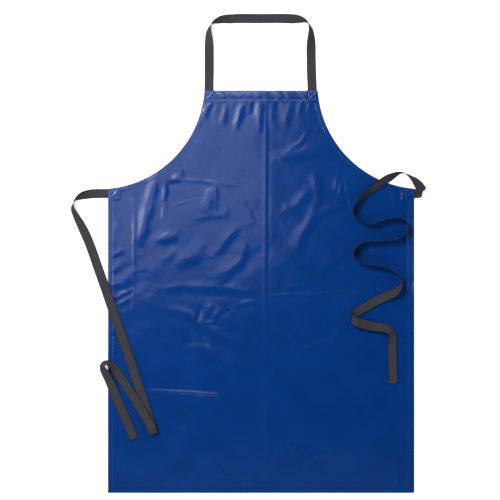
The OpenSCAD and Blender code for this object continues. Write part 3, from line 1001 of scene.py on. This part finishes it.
def triangulate(points, loop_size, inset):
    """Triangles over points whose first ones are the outline, in order."""
    ring = [(i, (i + 1) % loop_size) for i in range(loop_size)]
    made = delaunay_2d_cdt([tuple(p) for p in points.tolist()], ring, [], 0, 1e-7)
    verts, faces, origins = np.array([tuple(v) for v in made[0]]), np.array(made[2]), made[3]
    index = np.array([o[0] if o else -1 for o in origins])
    faces = faces[(index[faces] >= 0).all(axis=1)]
    middle = verts[faces].mean(axis=1)
    faces = index[faces[inside(middle, inset + 0.5e-6)]]
    a, b, c = (points[faces[:, k]] for k in range(3))
    turn = (b[:, 0] - a[:, 0]) * (c[:, 1] - a[:, 1]) - (b[:, 1] - a[:, 1]) * (c[:, 0] - a[:, 0])
    faces[turn < 0] = faces[turn < 0][:, ::-1]
    return faces[np.abs(turn) > 1e-12]


def hex_points(spacing, inset):
    """Points of a triangular grid inside the cloth, and which of them make a coarser grid."""
    rows = np.arange(GRID_Y[0], GRID_Y[-1], spacing * math.sqrt(3) / 2)
    columns = np.arange(GRID_X[0], GRID_X[-1], spacing)
    x, y = np.meshgrid(columns, rows)
    x = x + spacing / 2 * (np.arange(len(rows)) % 2)[:, None]
    coarse = (np.arange(len(rows)) % 2 == 0)[:, None] & (np.arange(len(columns)) % 2 == 0)[None, :]
    xy = np.stack([x.ravel(), y.ravel()], axis=1)
    keep = inside(xy, inset)
    return xy[keep], coarse.ravel()[keep]


def away_from_seams(xy, gap):
    clear = np.ones(len(xy), dtype=bool)
    for kind, d in zip(DISTANCE_KINDS, edge_distances(xy)):
        clear &= np.abs(d - SEAMS[kind]) > gap
    return clear


def seam_loops():
    """Rows of points along each seam, so that its groove has a true shape."""
    rows = []
    for edge, kind in EDGES.items():
        for off in (-1.9 * MM, -0.8 * MM, 0, 0.8 * MM, 2.2 * MM):
            rows.append(edge_line(edge, {**SEAMS, kind: SEAMS[kind] + off}, 3 * MM))
    return np.vstack(rows)


def away_from_boxes(xy, gap):
    reach = BOX_STITCH / 2 + gap
    clear = np.ones(len(xy), dtype=bool)
    for cx, cy in sewn_boxes().values():
        clear &= np.maximum(np.abs(xy[:, 0] - cx), np.abs(xy[:, 1] - cy)) > reach
    return clear


def box_points():
    """A fine grid over each square of stitching, clear of the seam rows and the cloth's edges."""
    steps = np.linspace(-BOX_STITCH / 2, BOX_STITCH / 2, 23)
    x, y = (v.ravel() for v in np.meshgrid(steps, steps))
    points = np.vstack([np.column_stack([cx + x, cy + y]) for cx, cy in sewn_boxes().values()])
    return points[away_from_seams(points, 2.6 * MM) & inside(points, 3.6 * MM)]


def front_points():
    """The outline's points first, then rows along the rim and seams, then a finer grid on folds."""
    loop = outline_loop(RIM, 3 * MM)
    rows = [outline_loop(RIM + d, 3 * MM) for d in (0.9 * MM, 2.0 * MM)]
    seams = np.vstack([seam_loops(), box_points()])
    fine, coarse = hex_points(2.5 * MM, 4.2 * MM)
    clear = away_from_seams(fine, 3.2 * MM) & away_from_boxes(fine, 0.8 * MM)
    fine, coarse = fine[clear], coarse[clear]
    strength = sample(soften(np.abs(bend), 2), fine)
    strength[coarse] = np.inf
    keep = np.argsort(-strength, kind="stable")[:FRONT_BUDGET]
    return len(loop), np.vstack([loop] + rows + [seams, fine[np.sort(keep)]])


def lowest_near(grid, reach):
    """The lowest value within so many grid steps of each place."""
    low = grid
    for _ in range(reach):
        for axis in (0, 1):
            low = np.minimum(low, np.minimum(np.roll(low, 1, axis), np.roll(low, -1, axis)))
    return low


def rim_rings(loop, loop_z):
    """Copies of the front's outline that roll over the edge and meet the back."""
    tangent = unit(np.roll(loop, -1, 0) - np.roll(loop, 1, 0))
    outward = np.stack([tangent[:, 1], -tangent[:, 0]], axis=1)
    rings = []
    for angle in np.radians([30, 60, 90, 120, 150, 180]):
        edge_z = np.maximum(loop_z - RIM + RIM * math.cos(angle), OFF_FLOOR)
        rings.append(np.column_stack([loop + outward * RIM * math.sin(angle), edge_z]))
    rings.append(np.column_stack([loop, loop_z - RIM]))
    return rings


def add_panel(front_cloth, back_cloth):
    """The panel as one closed sheet: a fine front, a rolled rim and a coarser back."""
    count, front = front_points()
    front_z = front_height(front)
    front_faces = triangulate(front, count, RIM)
    rims = rim_rings(front[:count], front_z[:count])
    coarse, _ = hex_points(8 * MM, 6 * MM)
    coarse_z = sample(lowest_near(relief, 4), coarse) - RIM - 0.05 * MM
    points = [np.column_stack([front, front_z])] + rims + [np.column_stack([coarse, coarse_z])]
    last_ring = len(front) + (len(rims) - 1) * count
    back_faces = triangulate(np.vstack([front[:count], coarse]), count, RIM)[:, ::-1] + last_ring
    rings = [np.arange(count)] + [len(front) + k * count + np.arange(count) for k in range(len(rims))]
    walls = [np.stack([a, b, np.roll(b, -1), np.roll(a, -1)], axis=1) for a, b in zip(rings, rings[1:])]
    faces = front_faces.tolist() + np.vstack(walls).tolist() + back_faces.tolist()
    piece = add_mesh("panel_cloth", np.vstack(points), faces, front_cloth)
    piece.data.materials.append(back_cloth)
    slots = np.zeros(len(faces), dtype=np.int32)
    slots[len(front_faces) + (len(rings) - 2) * count:] = 1
    piece.data.polygons.foreach_set("material_index", slots)
    # The front's fold tops get a painted highlight and a smoother coating. The rim and the back get
    # neither.
    wear_and_highlight = np.zeros(len(piece.data.vertices))
    wear_and_highlight[:len(front)] = sample(ridges, front)
    add_attribute(piece, "wear_and_highlight", wear_and_highlight)
    belong(piece, "panel")
    return piece


def hem_underside(xy):
    """The lower face of the cloth that is turned to the back."""
    front = np.minimum(sample(relief, xy) - 0.1 * MM, front_height(xy))
    return np.maximum(front - 2 * CLOTH_T, OFF_FLOOR)


# Across a hem, from its outer to its inner edge: how far across, and how much both faces round in.
HEM_SHAPE = ((0, 0.10 * MM), (0.08, 0), (0.35, 0), (0.65, 0), (0.92, 0), (1, 0.25 * MM))


def add_hem(edge, outer, inner, face_cloth):
    """A strip of the same cloth turned to the back: its coated side is underneath."""
    upper, lower = [], []
    for share, rounding in HEM_SHAPE:
        xy = outer * (1 - share) + inner * share
        upper.append(np.column_stack([xy, front_height(xy) - CLOTH_T - 0.03 * MM - rounding]))
        lower.append(np.column_stack([xy, hem_underside(xy) + rounding]))
    rows = upper + lower[::-1]
    n, m = len(rows), len(outer)
    index = np.arange(n * m).reshape(n, m)
    faces = []
    for k in range(n):
        a, b = index[k], index[(k + 1) % n]
        faces += np.stack([a[:-1], a[1:], b[1:], b[:-1]], axis=1).tolist()
    faces += [index[:, 0].tolist(), index[::-1, -1].tolist()]
    piece = add_mesh(edge + "_fold", np.vstack(rows), faces, face_cloth)
    add_attribute(piece, "wear_and_highlight", np.zeros(n * m))
    belong(piece, edge + "_hem")


def add_hems(face_cloth):
    for edge in EDGES:
        outer = edge_line(edge, even(RIM), 3 * MM)
        inner = edge_line(edge, HEMS, 3 * MM)
        inner = resample(inner, np.linspace(0, 1, len(inner)), np.linspace(0, 1, len(outer)))
        add_hem(edge, outer, inner, face_cloth)


# ---- Stitches ----

STITCH_PITCH = 3.0 * MM
STITCH_L = 2.5 * MM
THREAD_R = 0.27 * MM
THREAD_SIDES = 6
# Along a stitch: its place from end to end, its height out of the cloth as a share of the most it
# stands out, and its thickness as a share of the thread's.
STITCH_SHAPE = [(0, -0.30, 0.55), (0.12, 0.10, 0.95), (0.5, 0.26, 1.0), (0.88, 0.10, 0.95),
                (1, -0.30, 0.55)]
FRONT_STAND = 0.75 * MM
BACK_STAND = 0.35 * MM


def stitch_rows(line, side):
    """Where one side's stitches start along a seam, a little uneven as real ones are."""
    run = distance_along(line)
    count = max(1, int(round(run[-1] / STITCH_PITCH)))
    pitch = run[-1] / count
    starts = np.arange(count) * pitch + (pitch - STITCH_L) / 2
    if side < 0:
        starts = starts[:-1] + pitch / 2
    return run, starts + rng.normal(0, 0.07 * MM, len(starts))


def thread_rings(line, side, surface, stand):
    """Ring points of every stitch on one side of a seam, as stitch, ring, side and XYZ."""
    run, starts = stitch_rows(line, side)
    shape = np.array(STITCH_SHAPE)
    at = np.clip(starts[:, None] + shape[:, 0] * STITCH_L, 0, run[-1])
    xy = resample(line, run, at)
    along = unit(xy[:, -1] - xy[:, 0])
    beside = np.stack([-along[:, 1], along[:, 0]], axis=1)
    drift = rng.normal(0, 0.06 * MM, (len(starts), 1))
    xy = xy + (beside * drift)[:, None, :]
    z = surface(xy.reshape(-1, 2)).reshape(at.shape) + side * shape[:, 1] * stand
    angle = np.arange(THREAD_SIDES) * 2 * np.pi / THREAD_SIDES
    radius = THREAD_R * shape[:, 2]
    flat = beside[:, None, None, :] * np.cos(angle)[None, None, :, None] * radius[None, :, None, None]
    rise = np.sin(angle)[None, None, :] * radius[None, :, None]
    rings_xy = xy[:, :, None, :] + flat
    rings_z = z[:, :, None] + np.broadcast_to(rise, z.shape + (THREAD_SIDES,))
    return np.concatenate([rings_xy, rings_z[..., None]], axis=-1)


def add_stitches(name, lines, material, underside):
    """Each stitch is its own short thread between two holes, on the front and on the back."""
    sets = []
    for line in lines:
        sets.append(thread_rings(line, 1, front_height, FRONT_STAND))
        sets.append(thread_rings(line, -1, underside, BACK_STAND))
    rings = np.concatenate(sets)
    count, n, m = rings.shape[:3]
    index = np.arange(count * n * m).reshape(count, n, m)
    a, b = index[:, :-1], index[:, 1:]
    walls = np.stack([a, np.roll(a, -1, 2), np.roll(b, -1, 2), b], axis=-1).reshape(-1, 4)
    faces = walls.tolist() + index[:, 0, ::-1].tolist() + index[:, -1].tolist()
    piece = add_mesh(name + "_threads", rings.reshape(-1, 3), faces, material)
    belong(piece, name)


def under_hem(xy):
    """Where the threads lie under a hem."""
    return np.maximum(hem_underside(xy), THREAD_OFF_FLOOR)


def under_webbing(xy):
    """Where the threads lie under a sewn webbing end."""
    return np.full(len(xy), THREAD_OFF_FLOOR)


def box_lines(cx, cy):
    """A square of stitching with a cross in it."""
    h = BOX_HALF
    corner = [(cx - h, cy - h), (cx + h, cy - h), (cx + h, cy + h), (cx - h, cy + h)]
    sides = [straight(corner[k], corner[(k + 1) % 4], 1 * MM) for k in range(4)]
    return sides + [straight(corner[0], corner[2], 1 * MM), straight(corner[3], corner[1], 1 * MM)]


def add_sewing(material):
    for edge in EDGES:
        name = "top_hem" if edge == "top" else edge
        add_stitches(name + "_stitching", [edge_line(edge, SEAMS, 1 * MM)], material, under_hem)
    for name, (cx, cy) in sewn_boxes().items():
        add_stitches(name + "_cross_stitch", box_lines(cx, cy), material, under_webbing)


# ---- The whole scene ----

add_floor(floor_material())
add_world()
add_lights()
coated = coated_cloth()
panel = add_panel(coated, cloth_back())
add_hems(coated)
add_sewing(thread_material())
bpy.context.scene.view_settings.view_transform = "Standard"
